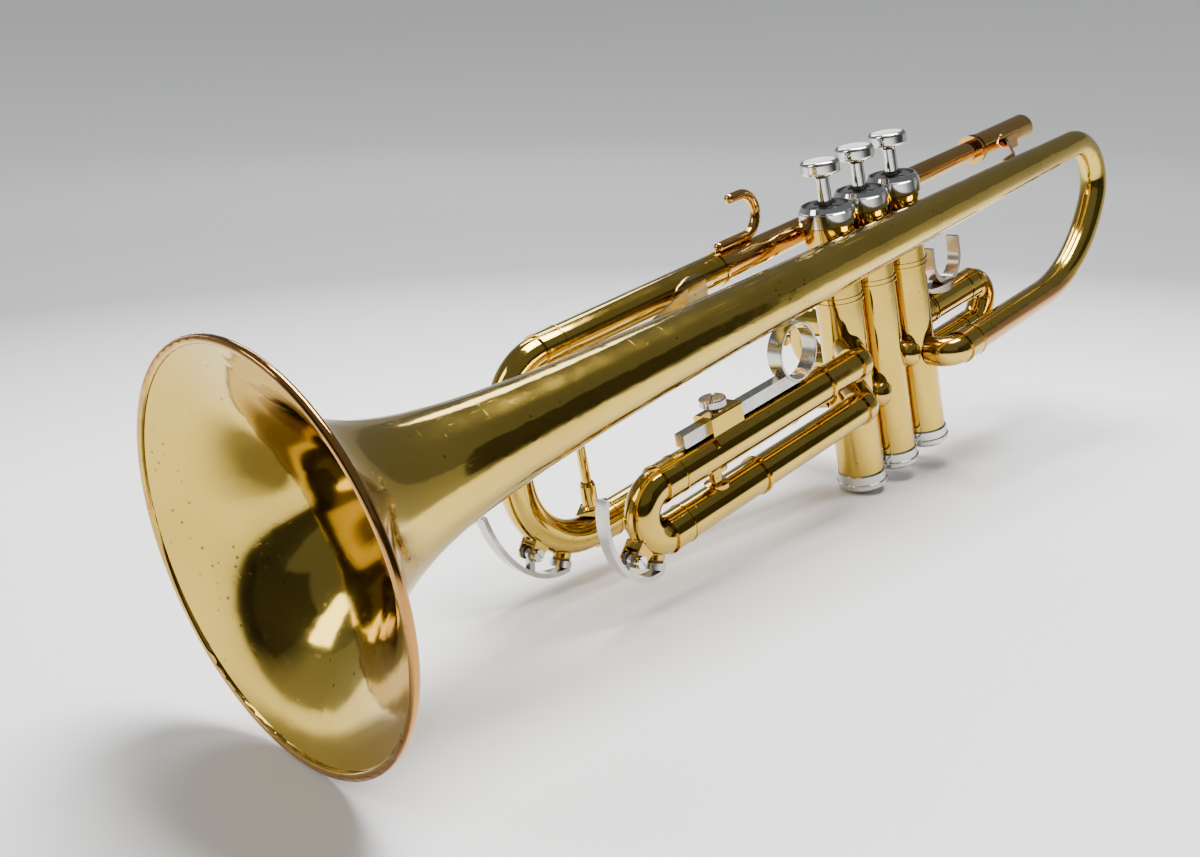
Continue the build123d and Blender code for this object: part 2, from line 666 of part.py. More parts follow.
# ================================================================ main tuning slide
with BuildLine(upright(LEAD_Y)) as main_route:
    CenterArc((main_front_x - MAIN_UPPER_BEND_R, LEAD_Z - MAIN_UPPER_BEND_R), MAIN_UPPER_BEND_R, 90, -90)
    Line((main_front_x, LEAD_Z - MAIN_UPPER_BEND_R), (main_front_x, MAIN_LOWER_Z + MAIN_LOWER_BEND_R))
    CenterArc((main_lower_x, MAIN_LOWER_Z + MAIN_LOWER_BEND_R), MAIN_LOWER_BEND_R, 0, -90)

with BuildPart() as tuning_bow:
    add(bent_tube(main_route.wires()[0], INNER_TUBE_R, TUBE_BORE_R - 0.25))
    for ferrule_x, ferrule_z in ((SLEEVE_FRONT_X, LEAD_Z), (lower_sleeve_front, MAIN_LOWER_Z)):
        seat = ferrule_x + 0.1
        end = ferrule_x + MAIN_FERRULE_LENGTH + 0.6
        add(tube_x(seat, end, LEAD_Y, ferrule_z, FERRULE_R - 0.25, INNER_TUBE_R - 0.1))
        add(beads_x([seat, end - BEAD_WIDTH], LEAD_Y, ferrule_z, FERRULE_R, INNER_TUBE_R))
save(tuning_bow.part, "tuning_bow")

with BuildPart() as tuning_inner_tubes:
    for ferrule_x, ferrule_z in ((SLEEVE_FRONT_X, LEAD_Z), (lower_sleeve_front, MAIN_LOWER_Z)):
        x_to = ferrule_x + MAIN_FERRULE_LENGTH
        length = MAIN_INNER_LENGTH if ferrule_z == MAIN_LOWER_Z else SLEEVE_FRONT_X - LEAD_FRONT_X - 2.0
        add(tube_x(ferrule_x - length, ferrule_x + 0.1, LEAD_Y, ferrule_z, INNER_TUBE_R, TUBE_BORE_R))
save(tuning_inner_tubes.part, "tuning_inner_tubes")

BRACE_X = main_lower_x - 1.5
with BuildPart() as tuning_brace:
    rod_top = LEAD_Z - FERRULE_R + 1.4
    rod_bottom = MAIN_LOWER_Z + FERRULE_R - 1.4
    socket_top = rod_bottom + 12.0
    with BuildSketch(Plane(origin=(BRACE_X, LEAD_Y, 0), **FRONT_PLANE)):
        with BuildLine():
            Polyline(
                (0, rod_bottom),
                (3.6, rod_bottom),
                (3.6, rod_bottom + 2.6),
                (2.9, rod_bottom + 3.4),
                (2.9, socket_top - 1.2),
                (2.4, socket_top),
                (1.7, socket_top),
                (1.7, rod_top - 6.0),
                (2.6, rod_top - 5.0),
                (2.6, rod_top - 2.0),
                (3.4, rod_top - 1.4),
                (3.4, rod_top),
                (0, rod_top),
                close=True,
            )
        make_face()
    revolve(axis=Axis((BRACE_X, LEAD_Y, 0), (0, 0, 1)))
    with BuildSketch(Plane(origin=(BRACE_X, LEAD_Y, rod_bottom - 1.6))):
        with BuildLine():
            Polyline((-8.0, 0), (0, 5.4), (8.0, 0), (0, -5.4), close=True)
        make_face()
    extrude(amount=4.0)
    for z in (MAIN_LOWER_Z, LEAD_Z):
        with Locations(Location((BRACE_X, LEAD_Y, z), (0, 90, 0))):
            Cylinder(FERRULE_R + 0.02, 60, mode=Mode.SUBTRACT)
    with BuildSketch(Plane(origin=main_route.wires()[0] @ 1, z_dir=(-1, 0, 0))):
        Circle(FERRULE_R + 0.02)
    revolve(axis=Axis((main_lower_x, LEAD_Y, MAIN_LOWER_Z + MAIN_LOWER_BEND_R), (0, -1, 0)),
            revolution_arc=60, mode=Mode.SUBTRACT)
save(tuning_brace.part, "tuning_brace")


# ================================================================ water keys
KEY_BARREL_R = 1.9
KEY_SCREW_R = 1.0
KEY_BAR = 1.7
KEY_WIDTH = 4.6
KEY_EAR = 3.6
KEY_GAP = 2.75
CORK_R = 3.1
CORK_THICKNESS = 2.2
COIL_WIRE_R = 0.25


def bow_solid(centre, bend_r, y):
    """A solid ring where a bow's tube runs, to trim the pieces that sit on it."""
    with BuildPart() as ring:
        with BuildSketch(Plane.XY.offset(centre[1])):
            with Locations((centre[0] + bend_r, y)):
                Circle(INNER_TUBE_R + 0.02)
        revolve(axis=Axis((centre[0], y, centre[1]), (0, 1, 0)))
    return ring.part


def water_key(name, y, pivot, lever_points, seat, centre, bend_r):
    """Lever, bracket, screw, spring and cork of one water key on a slide's bow."""
    plane = upright(y)
    hub = Vector(*centre)
    tip = Vector(*pivot)
    inward = (hub - tip).normalized()
    across = Vector(-inward.Y, inward.X)
    out = (Vector(*seat) - hub).normalized()
    surface = bend_r + INNER_TUBE_R

    def disc_plane(distance):
        """The plane across the drain hole's line, so far from the bow's centre."""
        spot = hub + out * distance
        return Plane(origin=(spot.X, y, spot.Y), z_dir=(out.X, 0, out.Y))

    with BuildPart() as bracket:
        with BuildSketch(plane):
            base = tip + inward * 5.4
            with BuildLine():
                ear = ThreePointArc(tip + across * 2.4, tip - inward * 2.4, tip - across * 2.4)
                Polyline(ear @ 1, base - across * 3.6, base + across * 3.6, ear @ 0)
            make_face()
        extrude(amount=KEY_EAR, both=True)
        with BuildSketch(plane):
            floor = tip + inward * 2.65
            top = tip - inward * 4.0
            with BuildLine():
                Polyline(top - across * 6, floor - across * 6, floor + across * 6, top + across * 6, close=True)
            make_face()
        extrude(amount=KEY_GAP, both=True, mode=Mode.SUBTRACT)
        with BuildSketch(disc_plane(surface - 1.5)):
            Circle(3.3)
        extrude(amount=2.4)
        add(bow_solid(centre, bend_r, y), mode=Mode.SUBTRACT)
        with BuildSketch(disc_plane(surface - 3.0)):
            Circle(1.4)
        extrude(amount=6.0, mode=Mode.SUBTRACT)
        with BuildSketch(plane):
            with Locations(pivot):
                Circle(KEY_SCREW_R)
        extrude(amount=2 * KEY_EAR, both=True, mode=Mode.SUBTRACT)
    save(bracket.part, f"{name}_bracket")

    with BuildPart() as cork:
        with BuildSketch(disc_plane(surface + 0.95)):
            Circle(CORK_R)
        extrude(amount=CORK_THICKNESS)
    save(cork.part, f"{name}_cork")

    with BuildPart() as lever:
        with BuildSketch(plane):
            with BuildLine():
                curve = Spline(*lever_points)
            trace(line_width=KEY_BAR)
        extrude(amount=KEY_WIDTH / 2, both=True)
        with BuildSketch(plane):
            with BuildLine():
                Line(pivot, curve @ 0.66)
            trace(line_width=2.4)
        extrude(amount=1.1, both=True)
        with BuildSketch(plane):
            with Locations(pivot):
                Circle(KEY_BARREL_R)
        extrude(amount=KEY_GAP - 0.15, both=True)
        with BuildSketch(disc_plane(surface + 0.95 + CORK_THICKNESS - 1.3)):
            Circle(CORK_R + 0.8)
        extrude(amount=2.3)
        with BuildSketch(disc_plane(surface + 0.9)):
            Circle(CORK_R + 0.02)
        extrude(amount=CORK_THICKNESS + 0.05, mode=Mode.SUBTRACT)
        with BuildSketch(plane):
            with Locations(pivot):
                Circle(KEY_SCREW_R + 0.05)
        extrude(amount=KEY_WIDTH, both=True, mode=Mode.SUBTRACT)
    save(lever.part, f"{name}_lever")

    with BuildPart() as screw:
        with BuildSketch(plane):
            with Locations(pivot):
                Circle(KEY_SCREW_R - 0.02)
        extrude(amount=KEY_EAR + 0.6, both=True)
        with BuildSketch(upright(y + KEY_EAR + 1.15)):
            with Locations(pivot):
                Circle(2.1)
                Rectangle(4.4, 0.6, rotation=60, mode=Mode.SUBTRACT)
        extrude(amount=1.1)
    save(screw.part, f"{name}_screw")

    coil_r = KEY_BARREL_R + COIL_WIRE_R + 0.05
    with BuildPart() as torsion_spring:
        with BuildSketch(Plane(origin=(pivot[0], y, pivot[1]), x_dir=(1, 0, 0), z_dir=(0, 0, 1))):
            for offset in (-2.3, -1.85, -1.4, 1.4, 1.85, 2.3):
                with Locations((coil_r, offset)):
                    Circle(COIL_WIRE_R)
        revolve(axis=Axis((pivot[0], y, pivot[1]), (0, 1, 0)))
    save(torsion_spring.part, f"{name}_spring")


water_key(
    "tuning_key",
    LEAD_Y,
    (194.2, 44.0),
    ((211.9, 65.5), (205.3, 48.0), (195.4, 36.9), (180.0, 31.6)),
    (180.5, 37.0),
    (main_lower_x, MAIN_LOWER_Z + MAIN_LOWER_BEND_R),
    MAIN_LOWER_BEND_R,
)

# ================================================================ third slide
third_bend_r = (THIRD_UPPER_Z - THIRD_LOWER_Z) / 2
third_middle_z = (THIRD_UPPER_Z + THIRD_LOWER_Z) / 2
third_bow_x = THIRD_FERRULE_X + THIRD_FERRULE_LENGTH

with BuildPart() as third_inner_tubes:
    for z in (THIRD_UPPER_Z, THIRD_LOWER_Z):
        add(tube_x(THIRD_KNUCKLE_X, THIRD_INNER_END_X, THIRD_Y, z, INNER_TUBE_R, TUBE_BORE_R))
save(third_inner_tubes.part, "third_inner_tubes")

with BuildPart() as third_outer_tubes:
    for z, end_x in ((THIRD_UPPER_Z, THIRD_UPPER_END_X), (THIRD_LOWER_Z, THIRD_LOWER_END_X)):
        add(tube_x(end_x, THIRD_FERRULE_X, THIRD_Y, z, OUTER_TUBE_R, OUTER_BORE_R))
        add(tube_x(end_x, end_x + 1.5, THIRD_Y, z, OUTER_TUBE_R + 0.7, OUTER_BORE_R))
save(third_outer_tubes.part, "third_outer_tubes")

with BuildLine(upright(THIRD_Y)) as third_route:
    Line((THIRD_FERRULE_X + 0.1, THIRD_UPPER_Z), (third_bow_x, THIRD_UPPER_Z))
    CenterArc((third_bow_x, third_middle_z), third_bend_r, 90, -180)
    Line((third_bow_x, THIRD_LOWER_Z), (THIRD_FERRULE_X + 0.1, THIRD_LOWER_Z))

with BuildPart() as third_bow:
    add(bent_tube(third_route.wires()[0], INNER_TUBE_R, TUBE_BORE_R - 0.25))
    for z in (THIRD_UPPER_Z, THIRD_LOWER_Z):
        seat = THIRD_FERRULE_X + 0.1
        end = third_bow_x
        add(tube_x(seat, end, THIRD_Y, z, FERRULE_R - 0.25, INNER_TUBE_R - 0.1))
        add(beads_x([seat, end - BEAD_WIDTH], THIRD_Y, z, FERRULE_R, INNER_TUBE_R))
save(third_bow.part, "third_bow")

POST_X = 135.0
with BuildPart() as third_post:
    with BuildSketch(Plane(origin=(POST_X, THIRD_Y, 0), **FRONT_PLANE)):
        post_top = THIRD_UPPER_Z - OUTER_TUBE_R + 1.4
        post_bottom = THIRD_LOWER_Z + OUTER_TUBE_R - 1.4
        with BuildLine():
            Polyline(
                (0, post_bottom),
                (4.6, post_bottom),
                (4.6, post_bottom + 1.5),
                (2.3, post_bottom + 2.1),
                (2.3, post_top - 2.1),
                (4.6, post_top - 1.5),
                (4.6, post_top),
                (0, post_top),
                close=True,
            )
        make_face()
    revolve(axis=Axis((POST_X, THIRD_Y, 0), (0, 0, 1)))
    for z in (THIRD_UPPER_Z, THIRD_LOWER_Z):
        with Locations(Location((POST_X, THIRD_Y, z), (0, 90, 0))):
            Cylinder(OUTER_TUBE_R + 0.01, 30, mode=Mode.SUBTRACT)
save(third_post.part, "third_slide_post")

water_key(
    "third_key",
    THIRD_Y,
    (181.4, 43.8),
    ((189.6, 69.1), (191.2, 53.9), (183.2, 38.2), (170.0, 34.6)),
    (170.9, 40.2),
    (third_bow_x, third_middle_z),
    third_bend_r,
)

# ================================================================ third slide's rod, ring and clamp
BLOCK_REAR_X = 120.0
BLOCK_FRONT_X = 137.0
BLOCK_HALF_WIDTH = 4.2
BLOCK_TOP = 77.2
CLAMP_X = 130.5

with BuildPart() as rod_block:
    with BuildSketch(Plane(origin=(BLOCK_REAR_X, THIRD_Y, 0), x_dir=(0, 1, 0), z_dir=(1, 0, 0))):
        with Locations((0, (BLOCK_TOP + 66.4) / 2)):
            Rectangle(2 * BLOCK_HALF_WIDTH, BLOCK_TOP - 66.4)
        with Locations((0, THIRD_UPPER_Z)):
            Circle(OUTER_TUBE_R + 1.3)
            Circle(OUTER_TUBE_R + 0.01, mode=Mode.SUBTRACT)
        with Locations((0, THIRD_UPPER_Z - 6.4)):
            Rectangle(30, 20, mode=Mode.SUBTRACT)
        with Locations((0, ROD_Z)):
            Rectangle(ROD_SIDE + 0.1, ROD_SIDE + 0.1, mode=Mode.SUBTRACT)
    extrude(amount=BLOCK_FRONT_X - BLOCK_REAR_X)
    with Locations((CLAMP_X, THIRD_Y, BLOCK_TOP)):
        Cylinder(1.7, 4, mode=Mode.SUBTRACT)
    fillet(rod_block.faces().sort_by(Axis.Z)[-1].edges().filter_by(Axis.X), radius=0.8)
save(rod_block.part, "rod_block")

with BuildPart() as stop_rod:
    with BuildSketch(Plane(origin=(RING_X, THIRD_Y, ROD_Z), z_dir=(1, 0, 0))):
        Rectangle(ROD_SIDE, ROD_SIDE)
    extrude(amount=ROD_FRONT_X - RING_X)
    chamfer(stop_rod.faces().sort_by(Axis.X)[-1].edges(), length=0.35)
    with Locations(Location((RING_X, THIRD_Y, RING_Z), (90, 0, 0))):
        Cylinder(RING_OUTER_R + 0.01, 20, mode=Mode.SUBTRACT)
save(stop_rod.part, "stop_rod")

with BuildPart() as finger_ring:
    with BuildSketch(upright(THIRD_Y)):
        with Locations((RING_X, RING_Z)):
            Circle(RING_OUTER_R)
            Circle(RING_INNER_R, mode=Mode.SUBTRACT)
    extrude(amount=RING_WIDTH / 2, both=True)
    fillet(finger_ring.edges(), radius=0.3)
save(finger_ring.part, "finger_ring")

with BuildPart() as thumb_screw:
    with BuildSketch(Plane.XY.offset(ROD_Z + ROD_SIDE / 2 + 0.3)):
        with Locations((CLAMP_X, THIRD_Y)):
            Circle(1.6)
    extrude(amount=3.5)
    with BuildSketch(Plane.XY.offset(79.4)):
        with Locations((CLAMP_X, THIRD_Y)):
            Circle(5.0)
    extrude(amount=2.7)
    fillet(thumb_screw.edges().group_by(Axis.Z)[-1], radius=0.6)
    with Locations((CLAMP_X, THIRD_Y, 82.1)):
        Box(10.4, 1.0, 1.6, rotation=(0, 0, 35), mode=Mode.SUBTRACT)
save(thumb_screw.part, "thumb_screw")

# ================================================================ first slide
first_upper_bend_r = 8.0
first_turn = 115.0
first_end = math.radians(90 + first_turn)
first_drop = FIRST_UPPER_Z - FIRST_LOWER_Z
first_lower_bend_r = (first_drop - first_upper_bend_r * (1 - math.sin(first_end))) / (1 + math.sin(first_end))
first_upper_centre = (FIRST_BOW_X - 3.0, FIRST_UPPER_Z - first_upper_bend_r)
first_lower_centre = (
    first_upper_centre[0] + (first_upper_bend_r - first_lower_bend_r) * math.cos(first_end),
    first_upper_centre[1] + (first_upper_bend_r - first_lower_bend_r) * math.sin(first_end),
)

with BuildPart() as first_inner_tubes:
    for z in (FIRST_UPPER_Z, FIRST_LOWER_Z):
        inner_end = FIRST_BOW_X + 6.5 if z == FIRST_UPPER_Z else first_lower_centre[0] + 9.5
        add(tube_x(inner_end, -VALVE_PITCH, 0, z, INNER_TUBE_R, TUBE_BORE_R))
        add(tube_x(FIRST_SOCKET_X, -VALVE_PITCH, 0, z, OUTER_TUBE_R, TUBE_BORE_R))
        add(beads_x([FIRST_SOCKET_X], 0, z, FERRULE_R, OUTER_TUBE_R - 0.2))
    with Locations((-VALVE_PITCH, 0, 48)):
        Cylinder(CASING_R, 40, mode=Mode.SUBTRACT)
save(first_inner_tubes.part, "first_inner_tubes")

with BuildPart() as first_outer_tubes:
    for z, ferrule_x in ((FIRST_UPPER_Z, FIRST_BOW_X - 3.0), (FIRST_LOWER_Z, first_lower_centre[0])):
        add(tube_x(ferrule_x + 9.0, FIRST_OUTER_END_X, 0, z, OUTER_TUBE_R, OUTER_BORE_R))
        add(beads_x([FIRST_OUTER_END_X - BEAD_WIDTH], 0, z, FERRULE_R, OUTER_BORE_R))
save(first_outer_tubes.part, "first_outer_tubes")

with BuildLine(upright(0)) as first_route:
    Line((FIRST_BOW_X + 5.9, FIRST_UPPER_Z), (FIRST_BOW_X - 3.0, FIRST_UPPER_Z))
    CenterArc(first_upper_centre, first_upper_bend_r, 90, first_turn)
    CenterArc(first_lower_centre, first_lower_bend_r, 90 + first_turn, 180 - first_turn)
    Line((first_lower_centre[0], FIRST_LOWER_Z), (first_lower_centre[0] + 8.9, FIRST_LOWER_Z))

with BuildPart() as first_bow:
    add(bent_tube(first_route.wires()[0], INNER_TUBE_R, TUBE_BORE_R - 0.25))
    for z, ferrule_x in ((FIRST_UPPER_Z, FIRST_BOW_X - 3.0), (FIRST_LOWER_Z, first_lower_centre[0])):
        add(tube_x(ferrule_x, ferrule_x + 8.9, 0, z, FERRULE_R - 0.25, INNER_TUBE_R - 0.1))
        add(beads_x([ferrule_x, ferrule_x + 8.9 - BEAD_WIDTH], 0, z, FERRULE_R, INNER_TUBE_R))
save(first_bow.part, "first_bow")

with BuildPart() as thumb_saddle:
    saddle_z = FIRST_UPPER_Z + OUTER_TUBE_R + 1.4
    bend_z = saddle_z + SADDLE_BEND_R
    with BuildSketch(upright(0)):
        with BuildLine():
            left = Line((SADDLE_X - SADDLE_BEND_R, SADDLE_TIP_Z), (SADDLE_X - SADDLE_BEND_R, bend_z))
            cradle = CenterArc((SADDLE_X, bend_z), SADDLE_BEND_R, 180, 180)
            Line(cradle @ 1, (SADDLE_X + SADDLE_BEND_R, SADDLE_TIP_Z))
        trace(line_width=2.2)
    extrude(amount=2.8, both=True)
    with BuildSketch(Plane.XY.offset(FIRST_UPPER_Z)):
        with Locations((SADDLE_X + 4.5, 0)):
            Ellipse(11.0, 4.6)
    extrude(amount=OUTER_TUBE_R + 1.6)
    with Locations(Location((SADDLE_X, 0, FIRST_UPPER_Z), (0, 90, 0))):
        Cylinder(OUTER_TUBE_R + 0.01, 60, mode=Mode.SUBTRACT)
save(thumb_saddle.part, "thumb_saddle")

# ================================================================ second slide
second_bend_r = (SECOND_UPPER_Z - SECOND_LOWER_Z) / 2
second_middle_z = (SECOND_UPPER_Z + SECOND_LOWER_Z) / 2
second_plane = Plane(origin=(0, 0, 0), x_dir=(0, 1, 0), z_dir=(1, 0, 0))

with BuildPart() as second_outer_tubes:
    for z in (SECOND_UPPER_Z, SECOND_LOWER_Z):
        add(tube_y(0, SECOND_OUTER_END_Y, 0, z, OUTER_TUBE_R, OUTER_BORE_R))
        add(tube_y(SECOND_OUTER_END_Y + BEAD_WIDTH, SECOND_OUTER_END_Y, 0, z, FERRULE_R, OUTER_BORE_R))
    with Locations((0, 0, second_middle_z)):
        Cylinder(CASING_R, 40, mode=Mode.SUBTRACT)
save(second_outer_tubes.part, "second_outer_tubes")

with BuildLine(second_plane) as second_route:
    Line((SECOND_INNER_END_Y, SECOND_UPPER_Z), (SECOND_BOW_Y, SECOND_UPPER_Z))
    CenterArc((SECOND_BOW_Y, second_middle_z), second_bend_r, 90, 180)
    Line((SECOND_BOW_Y, SECOND_LOWER_Z), (SECOND_INNER_END_Y, SECOND_LOWER_Z))

with BuildPart() as second_bow:
    add(bent_tube(second_route.wires()[0], INNER_TUBE_R, TUBE_BORE_R))
    for z in (SECOND_UPPER_Z, SECOND_LOWER_Z):
        add(tube_y(SECOND_OUTER_END_Y - 0.1, SECOND_BOW_Y, 0, z, FERRULE_R, INNER_TUBE_R - 0.1))
save(second_bow.part, "second_bow")

with BuildPart() as pull_knob:
    knob_y = SECOND_BOW_Y - second_bend_r - INNER_TUBE_R
    with BuildSketch(second_plane):
        with BuildLine():
            Polyline(
                (knob_y + 1.2, second_middle_z),
                (knob_y + 1.2, second_middle_z + 1.8),
                (knob_y - 2.6, second_middle_z + 1.8),
                (knob_y - 3.4, second_middle_z + KNOB_R),
                (knob_y - 5.4, second_middle_z + KNOB_R),
                (knob_y - 6.0, second_middle_z + KNOB_R - 0.6),
                (knob_y - 6.0, second_middle_z),
                close=True,
            )
        make_face()
    revolve(axis=Axis((0, 0, second_middle_z), (0, 1, 0)))
    with BuildSketch(Plane.XY.offset(second_middle_z)):
        with Locations((0, SECOND_BOW_Y - second_bend_r)):
            Circle(INNER_TUBE_R + 0.01)
    revolve(axis=Axis((0, SECOND_BOW_Y, second_middle_z), (1, 0, 0)), mode=Mode.SUBTRACT)
save(pull_knob.part, "second_pull_knob")

# ================================================================ pinky hook and braces
HOOK_R = 2.1
HOOK_BEND_R = 8.5
HOOK_Z = LEAD_Z + LEAD_FRONT_R + HOOK_R - 0.1
HOOK_X = 56.2

with BuildLine(upright(LEAD_Y)) as hook_route:
    Line((HOOK_X + 16.8, HOOK_Z), (HOOK_X, HOOK_Z))
    CenterArc((HOOK_X, HOOK_Z + HOOK_BEND_R), HOOK_BEND_R, 270, -180)
    Line((HOOK_X, HOOK_Z + 2 * HOOK_BEND_R), (HOOK_X + 6.3, HOOK_Z + 2 * HOOK_BEND_R))

with BuildPart() as pinky_hook:
    with BuildSketch(Plane(origin=(HOOK_X + 16.8, LEAD_Y, HOOK_Z), z_dir=(-1, 0, 0))):
        Circle(HOOK_R)
    sweep(path=hook_route.wires()[0])
    with Locations((HOOK_X + 6.3, LEAD_Y, HOOK_Z + 2 * HOOK_BEND_R)):
        Sphere(HOOK_R)
    with Locations((HOOK_X + 16.8, LEAD_Y, HOOK_Z)):
        Sphere(HOOK_R)
    with Locations(Location((HOOK_X + 5, LEAD_Y, LEAD_Z), (0, 90, 0))):
        Cylinder(LEAD_FRONT_R + 0.01, 80, mode=Mode.SUBTRACT)
save(pinky_hook.part, "pinky_hook")

with BuildPart() as bell_envelope:
    with BuildSketch(Plane(origin=(0, BELL_Y, BELL_Z), **FRONT_PLANE)):
        with BuildLine():
            hull = Spline(*outer_points)
            Polyline(hull @ 1, (BELL_JOINT_X, 0), (BELL_MOUTH_X, 0), hull @ 0)
        make_face()
    revolve(axis=Axis((0, BELL_Y, BELL_Z), (1, 0, 0)))


def flat_brace(lead_x, lead_r, bell_x):
    """A flat diagonal strap between two pointed leaves, from the leadpipe's side to the bell."""
    strap = 1.3
    bell_r = bell_radius(bell_x)
    lead_y = LEAD_Y + lead_r
    bell_side = BELL_Y - bell_r
    with BuildPart() as brace:
        add(leaf(lead_x, 26.0, LEAD_Y, LEAD_Z, lead_r + 0.01, 1, 9.0))
        with BuildSketch(Plane(origin=(bell_x, BELL_Y, BELL_Z), **FRONT_PLANE)):
            with BuildLine():
                ThreePointArc((-12, 0), (0, 4.0), (12, 0))
                ThreePointArc((12, 0), (0, -4.0), (-12, 0))
            make_face()
        extrude(amount=bell_r + 0.9)
        with BuildSketch(Plane.XY.offset(LEAD_Z - 5.6)):
            with BuildLine():
                foot = 6.0 if bell_x > lead_x else -6.0
                Line((lead_x - foot, lead_y + 0.4), (lead_x + foot, lead_y + 1.2))
                Line((lead_x + foot, lead_y + 1.2), (bell_x - foot, bell_side - 1.2))
                Line((bell_x - foot, bell_side - 1.2), (bell_x + foot, bell_side + 0.4))
            trace(line_width=strap)
        extrude(amount=7.0)
        with Locations(Location((lead_x, LEAD_Y, LEAD_Z), (0, 90, 0))):
            Cylinder(lead_r + 0.01, 60, mode=Mode.SUBTRACT)
        add(bell_envelope.part, mode=Mode.SUBTRACT)
    return brace.part


save(flat_brace(98.0, OUTER_TUBE_R, 150.0), "front_brace")
save(flat_brace(-150.0, RECEIVER_R, -106.0), "rear_brace")
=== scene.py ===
import math

import bpy
from mathutils import Matrix, Vector


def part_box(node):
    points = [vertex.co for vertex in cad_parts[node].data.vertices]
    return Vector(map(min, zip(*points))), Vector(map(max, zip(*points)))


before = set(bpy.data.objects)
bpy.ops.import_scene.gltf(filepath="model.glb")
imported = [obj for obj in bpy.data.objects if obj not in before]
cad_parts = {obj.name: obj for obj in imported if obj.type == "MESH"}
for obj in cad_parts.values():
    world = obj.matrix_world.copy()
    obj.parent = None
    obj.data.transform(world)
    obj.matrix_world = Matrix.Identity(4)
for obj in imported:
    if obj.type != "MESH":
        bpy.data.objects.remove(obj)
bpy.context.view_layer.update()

MM = 0.001

# ------------------------------------------------------------------ camera
CAMERA_AT = Vector((0.46413, 0.32497, 0.25101))
CAMERA_RIGHT = Vector((-0.68507, 0.70917, -0.16660))
CAMERA_UP = Vector((-0.26929, -0.03403, 0.96246))
FOCAL_OVER_WIDTH = 1360.2 / 1200.0
SHIFT_Y = -0.1738

camera_data = bpy.data.cameras.new("camera")
camera_data.sensor_width = 36.0
camera_data.lens = 36.0 * FOCAL_OVER_WIDTH
camera_data.shift_y = SHIFT_Y
camera_data.clip_start = 0.01
camera_data.clip_end = 30.0
camera = bpy.data.objects.new("camera", camera_data)
bpy.context.scene.collection.objects.link(camera)
right = CAMERA_RIGHT.normalized()
back = right.cross(CAMERA_UP).normalized()
up = back.cross(right)
turn = Matrix((right, up, back)).transposed()
camera.matrix_world = Matrix.Translation(CAMERA_AT) @ turn.to_4x4()
bpy.context.scene.camera = camera

# ------------------------------------------------------------ floor under the rim and valve 3
FLOOR_NORMAL = Vector((-0.16286, 0.07382, 0.98388)).normalized()
FLOOR_DROP = 5.75 * MM
FLOOR_AT = FLOOR_NORMAL * (-FLOOR_DROP)
away = (-back) - (-back).dot(FLOOR_NORMAL) * FLOOR_NORMAL
away.normalize()
side = away.cross(FLOOR_NORMAL)


def on_floor(x, y, z=0.0):
    """A point from metres along the floor, away from the camera, and above the floor."""
    return FLOOR_AT + side * x + away * y + FLOOR_NORMAL * z


# ------------------------------------------------------------------ material building blocks
class Graph:
    """A short way to add and join shader nodes."""

    def __init__(self, name):
        self.material = bpy.data.materials.new(name)
        self.material.use_nodes = True
        self.tree = self.material.node_tree
        self.bsdf = self.tree.nodes["Principled BSDF"]
        self.where = self.tree.nodes.new("ShaderNodeTexCoord").outputs["Object"]

    def node(self, kind, **settings):
        made = self.tree.nodes.new(kind)
        for key, value in settings.items():
            setattr(made, key, value)
        return made

    def put(self, socket, value):
        if isinstance(value, bpy.types.NodeSocket):
            self.tree.links.new(value, socket)
        else:
            socket.default_value = value

    def stretched(self, scale):
        mapping = self.node("ShaderNodeMapping")
        mapping.inputs["Scale"].default_value = scale
        self.put(mapping.inputs["Vector"], self.where)
        return mapping.outputs["Vector"]

    def noise(self, scale, detail=3.0, rough=0.55, vector=None, distortion=0.0):
        made = self.node("ShaderNodeTexNoise")
        self.put(made.inputs["Vector"], vector if vector is not None else self.where)
        made.inputs["Scale"].default_value = scale
        made.inputs["Detail"].default_value = detail
        made.inputs["Roughness"].default_value = rough
        made.inputs["Distortion"].default_value = distortion
        return made.outputs["Fac"]

    def cells(self, scale, vector=None):
        made = self.node("ShaderNodeTexVoronoi")
        self.put(made.inputs["Vector"], vector if vector is not None else self.where)
        made.inputs["Scale"].default_value = scale
        return made.outputs["Distance"]

    def remap(self, value, low, high, to_low=0.0, to_high=1.0):
        made = self.node("ShaderNodeMapRange")
        self.put(made.inputs["Value"], value)
        made.inputs["From Min"].default_value = low
        made.inputs["From Max"].default_value = high
        made.inputs["To Min"].default_value = to_low
        made.inputs["To Max"].default_value = to_high
        return made.outputs["Result"]

    def math(self, operation, first, second):
        made = self.node("ShaderNodeMath", operation=operation)
        self.put(made.inputs[0], first)
        self.put(made.inputs[1], second)
        return made.outputs["Value"]

    def mix(self, factor, first, second):
        made = self.node("ShaderNodeMix", data_type="RGBA")
        self.put(made.inputs["Factor"], factor)
        self.put(made.inputs["A"], first)
        self.put(made.inputs["B"], second)
        return made.outputs["Result"]

    def bump(self, height, strength, distance):
        made = self.node("ShaderNodeBump")
        made.inputs["Strength"].default_value = strength
        made.inputs["Distance"].default_value = distance
        self.put(made.inputs["Height"], height)
        self.put(self.bsdf.inputs["Normal"], made.outputs["Normal"])


def rgb(red, green, blue):
    return (red, green, blue, 1.0)


PATINA_BROWN = rgb(0.30, 0.13, 0.035)
PIT_BROWN = rgb(0.055, 0.028, 0.012)
RIM_COPPER = rgb(0.42, 0.19, 0.055)
RIM_PIT = rgb(0.03, 0.016, 0.008)
PLATE_SPOT = rgb(0.10, 0.075, 0.05)


